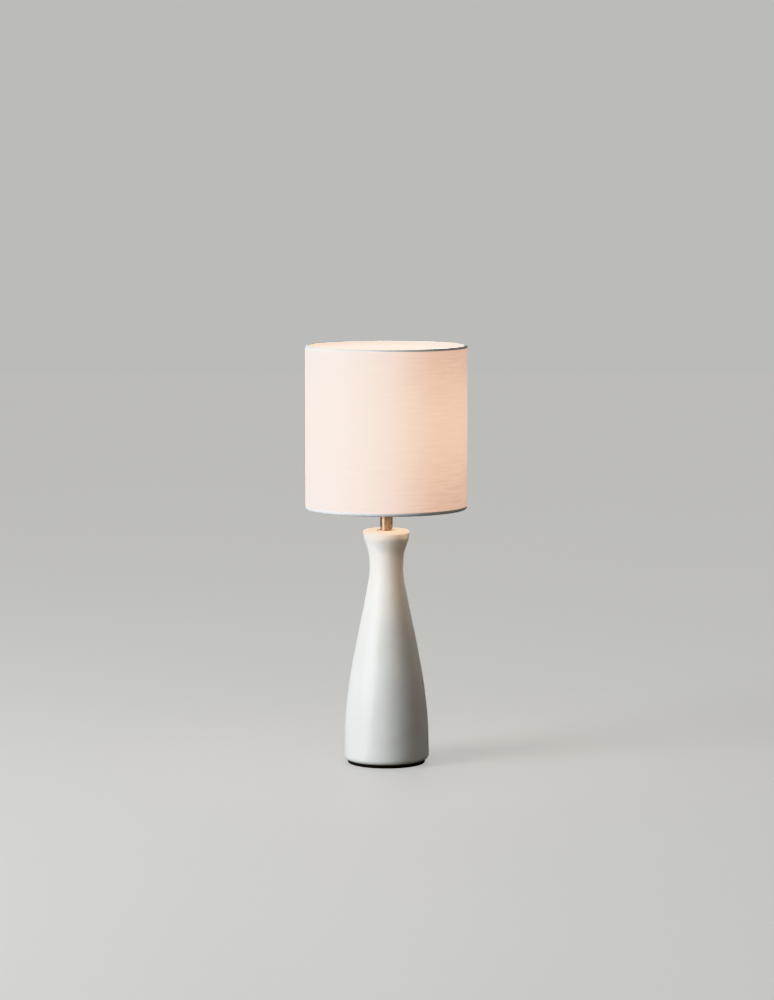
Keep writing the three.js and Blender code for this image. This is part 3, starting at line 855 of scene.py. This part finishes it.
# Opal polycarbonate, lit from inside: it hides the diodes and shines almost evenly, a little
# less towards its edge. Its light is warm white, about 2700 K.
opal = new_material("opal_polycarbonate")
edge = node(opal, "LayerWeight", {"Blend": 0.35}).outputs["Facing"]
where = node(opal, "TexCoord").outputs["Object"]
haze = node(opal, "TexNoise", {"Vector": where, "Scale": 1 / 0.02, "Detail": 2.0})
tone = node(opal, "ValToRGB", {"Fac": haze}, ramp=((0.0, "#fbf1e0"), (1.0, "#fff8ec")))
shine = node(opal, "MapRange", {"Value": edge, "To Min": 7.0, "To Max": 4.5})
warm_white = linear("#ffd9a8")
shader = node(
    opal,
    "BsdfPrincipled",
    {"Base Color": tone, "Roughness": 0.4, "Emission Color": warm_white, "Emission Strength": shine},
)
node(opal, "OutputMaterial", {"Surface": shader})

globe_open = math.degrees(math.asin((globe_low.z - globe_centre) / globe_radius))
globe_wall = 1
globe = turned(
    "bulb_globe_opal",
    [
        (0, globe_high.z - globe_wall),
        *arc(0, globe_centre, globe_radius - globe_wall, 85, globe_open - 1.5, 20),
        *arc(0, globe_centre, globe_radius, globe_open, 85, 24),
        (0, globe_high.z),
    ],
    96,
)
stands_for(globe, opal, "bulb", "opal_globe", "bulb_globe")
globe.visible_shadow = False

# Aluminium-backed circuit board under white solder mask, with a faint weave at its cut edge.
board = new_material("white_solder_mask")
where = node(board, "TexCoord").outputs["Object"]
resin = node(board, "TexNoise", {"Vector": where, "Scale": 1 / 0.002, "Detail": 3.0})
tone = node(board, "ValToRGB", {"Fac": resin}, ramp=((0.0, "#d9dad6"), (1.0, "#ecece8")))
relief = node(board, "Bump", {"Strength": 0.15, "Distance": 0.00005, "Height": resin})
shader = node(board, "BsdfPrincipled", {"Base Color": tone, "Roughness": 0.45, "Normal": relief})
node(board, "OutputMaterial", {"Surface": shader})
keeps_shape(board, "bulb_led_board", "bulb_driver_board")

# The light that gets past the shade, soft and warm, from the middle of the globe. It is weaker
# than the real bulb's, because the glow painted on the cloth and the film stands for most of it.
bulb_light = bpy.data.lights.new("bulb_light", "POINT")
bulb_light.energy = 0.75
bulb_light.color = linear("#ffd6c0")[:3]
bulb_light.shadow_soft_size = 0.02
bulb_lamp = bpy.data.objects.new("bulb_light", bulb_light)
bulb_lamp.location = (0, 0, globe_centre * MM)
bpy.context.scene.collection.objects.link(bulb_lamp)

# ---------------------------------------------------------------- drum shade
# One sheet of white cotton laminated to a stiff translucent film, bent round and lapped by
# 9.8 mm in a glued seam at the back left. Its edges are rolled in round the wire rings.

seam_turn = math.radians(126)
seam_half = 4.9
seam_step = 0.35
ring_steps = 288
slub_length, slub_gap = 0.030, 0.0017


def sheet_body(name, profile, shape):
    """A body turned about Z whose first column lies on the seam, with a UV map of arc length and
    height in metres. Its columns stand closer together beside the seam's two edges."""
    columns = [2 * math.pi * i / ring_steps for i in range(ring_steps)]
    for side in (-1, 1):
        for offset in (-0.25, 0.25):
            columns.append((side * seam_half + offset) / shade_radius % (2 * math.pi))
    columns.sort()
    made = bmesh.new()
    rows = []
    for radius, height in profile:
        row = []
        for turn in columns:
            r, z = shape(radius, height, turn)
            angle = turn + seam_turn
            row.append(made.verts.new((r * math.cos(angle) * MM, r * math.sin(angle) * MM, z * MM)))
        rows.append(row)
    uv = made.loops.layers.uv.new("cloth")
    spans = [*columns, 2 * math.pi]
    for low_row, high_row, low, high in zip(rows, rows[1:] + rows[:1], profile, profile[1:] + profile[:1]):
        for i in range(len(columns)):
            j = (i + 1) % len(columns)
            face = made.faces.new((low_row[i], low_row[j], high_row[j], high_row[i]))
            left, right = spans[i] * shade_radius * MM, spans[i + 1] * shade_radius * MM
            places = ((left, low), (right, low), (right, high), (left, high))
            for loop, (u, point) in zip(face.loops, places):
                loop[uv].uv = (u, point[1] * MM)
    mesh = bpy.data.meshes.new(name)
    made.to_mesh(mesh)
    made.free()
    for face in mesh.polygons:
        face.use_smooth = True
    mesh.set_sharp_from_angle(angle=math.radians(55))
    piece = bpy.data.objects.new(name, mesh)
    bpy.context.scene.collection.objects.link(piece)
    return piece


def from_seam(turn):
    """Arc length from the seam's middle, in mm, negative on one side."""
    turn = (turn + math.pi) % (2 * math.pi) - math.pi
    return turn * shade_radius


def lap(turn, sharp_side):
    """How far the lap lifts the sheet, from 0 to 1. Its cut edge is a step, and its other side
    rises slowly, where the sheet bends over the layer below."""
    along = from_seam(turn) * sharp_side
    if along > seam_half:
        return 0.0
    return min(1.0, max(0.0, (along + 2.2 * seam_half) / (1.2 * seam_half)))


roll_turn = 250
roll_inner = roll_radius - cloth_thick
pucker_depth = 0.11


def fabric_shape(radius, height, turn):
    """The lap's step on the outside, and the small puckers where the edges were turned in."""
    beyond = max(low_wire - height, height - high_wire, 0.0)
    outside = math.hypot(radius - wire_circle, beyond) > roll_inner + 0.2
    if not outside or radius < wire_circle:
        return radius, height
    facing_out = (radius - wire_circle) / roll_radius
    from_wire = min(abs(height - low_wire), abs(height - high_wire))
    pucker = 0.0
    if from_wire <= roll_radius:
        at = Vector((math.cos(turn) * 16, math.sin(turn) * 16, height * 0.2))
        pucker = pucker_depth * noise.noise(at)
    return radius + seam_step * lap(turn, 1) * facing_out + pucker, height


wall_low, wall_high = low_wire + 1.6, high_wire - 0.9
row_height = 7.5
outer_wall = [
    (shade_radius - 0.12, low_wire + 0.85),
    *wall_line(shade_radius, wall_low, wall_high, row_height),
    (shade_radius - 0.12, high_wire - 0.3),
]
fabric_profile = [
    *arc(wire_circle, low_wire, roll_radius, -roll_turn, 10, 20),
    *outer_wall,
    *arc(wire_circle, high_wire, roll_radius, 4, roll_turn, 20),
    *arc(wire_circle, high_wire, roll_inner, roll_turn, 0, 14),
    *wall_line(shade_radius - cloth_thick, wall_high, wall_low, row_height),
    *arc(wire_circle, low_wire, roll_inner, 0, -roll_turn, 14),
]
cloth = sheet_body("shade_cloth", fabric_profile, fabric_shape)

# Plain-woven white cotton, with a glow painted on it for the bulb's light coming through. Thick
# threads lie across it 1.7 mm apart, in streaks 30 mm long. The painted glow is strongest level
# with the bulb and pinker further off, and the doubled cloth of the seam and rolled edges gets less.
shade_cotton = new_material("laminated_cotton")
where = node(shade_cotton, "UVMap", uv_map="cloth")
cloth_at = node(shade_cotton, "SeparateXYZ", {"Vector": where})
along, up = cloth_at.outputs["X"], cloth_at.outputs["Y"]
slub_at = node(shade_cotton, "Mapping", {"Vector": where, "Scale": (1 / slub_length, 1 / slub_gap, 1.0)})
slubs = node(shade_cotton, "TexNoise", {"Vector": slub_at, "Scale": 1.0, "Detail": 2.0})
warp_at = node(shade_cotton, "Mapping", {"Vector": where, "Scale": (1 / 0.0012, 1 / 0.020, 1.0)})
warp = node(shade_cotton, "TexNoise", {"Vector": warp_at, "Scale": 1.0, "Detail": 2.0})
threads = node(shade_cotton, "Math", {0: warp, 1: 0.4, 2: slubs}, operation="MULTIPLY_ADD")
tone = node(shade_cotton, "ValToRGB", {"Fac": slubs}, ramp=((0.3, "#dfe1e3"), (0.7, "#f6f7f8")))

# the painted glow for the bulb's light: 1 level with the bulb, and falling as the cube of the distance
# from it grows
bulb_off = shade_radius * MM
level = node(shade_cotton, "Math", {0: up, 1: globe_centre * MM}, operation="SUBTRACT")
square = node(shade_cotton, "Math", {0: level, 1: level, 2: bulb_off**2}, operation="MULTIPLY_ADD")
distance = node(shade_cotton, "Math", {0: square}, operation="SQRT")
share = node(shade_cotton, "Math", {0: bulb_off, 1: distance}, operation="DIVIDE")
near = node(shade_cotton, "Math", {0: share, 1: 3.0}, operation="POWER")
painted_glow_tint = node(shade_cotton, "ValToRGB", {"Fac": near}, ramp=((0.3, "#ffcbad"), (1.0, "#ffd4b5")))

# less painted glow where the edges are rolled over the wires, and where the seam is doubled
roll_shadow_low, roll_shadow_high = low_wire + 1.15, high_wire - 0.25
blur = 0.4 * MM
above = node(shade_cotton, "Math", {0: up, 1: roll_shadow_low * MM}, operation="SUBTRACT")
below = node(shade_cotton, "Math", {0: roll_shadow_high * MM, 1: up}, operation="SUBTRACT")
inset = node(shade_cotton, "Math", {0: above, 1: below}, operation="MINIMUM")
one_layer = node(shade_cotton, "MapRange", {"Value": inset, "From Min": -blur, "From Max": blur})
around = 2 * math.pi * shade_radius * MM
other_way = node(shade_cotton, "Math", {0: around, 1: along}, operation="SUBTRACT")
beside_seam = node(shade_cotton, "Math", {0: along, 1: other_way}, operation="MINIMUM")
seam_edge, seam_blur = seam_half * MM, 0.3 * MM
doubled = node(
    shade_cotton,
    "MapRange",
    {
        "Value": beside_seam,
        "From Min": seam_edge - seam_blur,
        "From Max": seam_edge + seam_blur,
        "To Min": 0.62,
        "To Max": 1.0,
    },
)
uneven = node(
    shade_cotton,
    "MapRange",
    {"Value": threads, "From Min": 0.45, "From Max": 0.95, "To Min": 0.90, "To Max": 1.08},
)
# the strength of the glow painted on the cloth, brightest level with the bulb
glow = node(shade_cotton, "Math", {0: near, 1: 0.4, 2: 0.6}, operation="MULTIPLY_ADD")
full_glow = 0.88
for dimmer in (one_layer, doubled, uneven, full_glow):
    glow = node(shade_cotton, "Math", {0: glow, 1: dimmer}, operation="MULTIPLY")
relief = node(shade_cotton, "Bump", {"Strength": 0.7, "Distance": 0.0003, "Height": threads})
shader = node(
    shade_cotton,
    "BsdfPrincipled",
    {
        "Base Color": tone,
        "Roughness": 0.85,
        "Sheen Weight": 0.3,
        "Emission Color": painted_glow_tint,
        "Emission Strength": glow,
        "Normal": relief,
    },
)
node(shade_cotton, "OutputMaterial", {"Surface": shader})
stands_for(cloth, shade_cotton, "shade", "shade_fabric", "shade_fabric")

# The stiff film that the cotton is laminated to, seen through the shade's open ends. It is
# milky white, with a cream glow painted on it for the bulb's light, strongest above the bulb.
film = new_material("laminate_film")
where = node(film, "UVMap", uv_map="cloth")
film_at = node(film, "SeparateXYZ", {"Vector": where})
streak_at = node(film, "Mapping", {"Vector": where, "Scale": (1 / slub_length, 1 / slub_gap, 1.0)})
streaks = node(film, "TexNoise", {"Vector": streak_at, "Scale": 1.0, "Detail": 2.0})
tone = node(film, "ValToRGB", {"Fac": streaks}, ramp=((0.3, "#ece5d8"), (0.7, "#f4efe4")))
relief = node(film, "Bump", {"Strength": 0.15, "Distance": 0.0001, "Height": streaks})
film_glow_from, film_glow_to = 340, 405  # mm up: the bulb's level, and just under the upper wire
# a cream glow painted on the film, faint up to the bulb's level and strongest under the upper wire
painted_film_glow = node(
    film,
    "MapRange",
    {
        "Value": film_at.outputs["Y"],
        "From Min": film_glow_from * MM,
        "From Max": film_glow_to * MM,
        "To Min": 0.2,
        "To Max": 3.0,
    },
)
shader = node(
    film,
    "BsdfPrincipled",
    {
        "Base Color": tone,
        "Roughness": 0.42,
        "Emission Color": linear("#fff1dd"),
        "Emission Strength": painted_film_glow,
        "Normal": relief,
    },
)
node(film, "OutputMaterial", {"Surface": shader})

film_low, film_high = millimetres("shade_liner")
film_radius = radius_of(film_low, film_high)
film_thick, film_row = 0.5, 12


def film_shape(radius, height, turn):
    """The film's lap, which steps inwards on its other side."""
    inside = radius < film_radius - film_thick / 2
    return radius - (seam_step * lap(turn, -1) if inside else 0.0), height


liner = sheet_body(
    "shade_film",
    [
        *wall_line(film_radius, film_low.z, film_high.z, film_row),
        *wall_line(film_radius - film_thick, film_high.z, film_low.z, film_row),
    ],
    film_shape,
)
stands_for(liner, film, "shade", "shade_liner", "shade_liner")

# ---------------------------------------------------------------- studio
# A pale floor and backdrop, a large soft light to the left for the cool daylight there, and a
# weak pale surround. The lamp's own bulb and the glow painted on its shade give the warm light.

floor_size = 12.0
bpy.ops.mesh.primitive_plane_add(size=floor_size, location=(0, 0, 0))
floor = bpy.context.object
floor.name = "floor"
floor_paint = new_material("floor_paint")
where = node(floor_paint, "TexCoord").outputs["Object"]
patch = node(floor_paint, "TexNoise", {"Vector": where, "Scale": 1.5, "Detail": 3.0})
tone = node(floor_paint, "ValToRGB", {"Fac": patch}, ramp=((0.0, "#8e8d8b"), (1.0, "#959492")))
paper_white = linear("#f4f5f3")
lit_floor = node(
    floor_paint,
    "BsdfPrincipled",
    {"Base Color": tone, "Roughness": 0.6, "Emission Color": paper_white, "Emission Strength": 0.43},
)
# the camera sees the lit floor, and the lamp gets the light of a darker one
dim_floor = node(floor_paint, "BsdfPrincipled", {"Base Color": linear("#6c6864"), "Roughness": 0.5})
seen = node(floor_paint, "LightPath").outputs["Is Camera Ray"]
shader = node(floor_paint, "MixShader", {0: seen, 1: dim_floor, 2: lit_floor})
node(floor_paint, "OutputMaterial", {"Surface": shader})
floor.data.materials.append(floor_paint)

scene = bpy.context.scene
world = bpy.data.worlds.new("studio")
scene.world = world
world.use_nodes = True
world.node_tree.nodes.clear()
direction = node(world, "TexCoord").outputs["Generated"]
backward = node(world, "SeparateXYZ", {"Vector": direction}).outputs["Y"]
brighter_behind = node(
    world,
    "MapRange",
    {"Value": backward, "From Min": 0.2, "From Max": 0.8, "To Min": 0.33, "To Max": 0.85},
)
surround = node(world, "Background", {"Color": linear("#ddd8d0"), "Strength": brighter_behind})
backdrop = node(world, "Background", {"Color": linear("#c1c2c0"), "Strength": 1.0})
seen = node(world, "LightPath").outputs["Is Camera Ray"]
shader = node(world, "MixShader", {0: seen, 1: surround, 2: backdrop})
node(world, "OutputWorld", {"Surface": shader})

# the daylight, from the left, in front and above
key = bpy.data.lights.new("window_light", "AREA")
key.shape = "RECTANGLE"
key.size, key.size_y = 1.1, 1.1
key.energy = 43.0
key.color = (0.925, 0.98, 1.0)
key_stand = bpy.data.objects.new("window_light", key)
key_stand.location = (-1.6, -0.9, 0.75)
aim = Vector((0, 0, 0.25)) - key_stand.location
key_stand.rotation_euler = aim.to_track_quat("-Z", "Y").to_euler()
scene.collection.objects.link(key_stand)

# a long lens, higher than the lamp's top and looking down on it a little
camera = bpy.data.cameras.new("camera")
camera.lens = 115.13
camera.sensor_width = 36.0
camera.clip_start, camera.clip_end = 0.05, 50.0
camera_stand = bpy.data.objects.new("camera", camera)
camera_stand.location = (0.0006, -3.1491, 0.5915)
look_down = 5.964
camera_stand.rotation_euler = (math.radians(90 - look_down), 0, 0)
scene.collection.objects.link(camera_stand)
scene.camera = camera_stand
scene.view_settings.view_transform = "Khronos PBR Neutral"
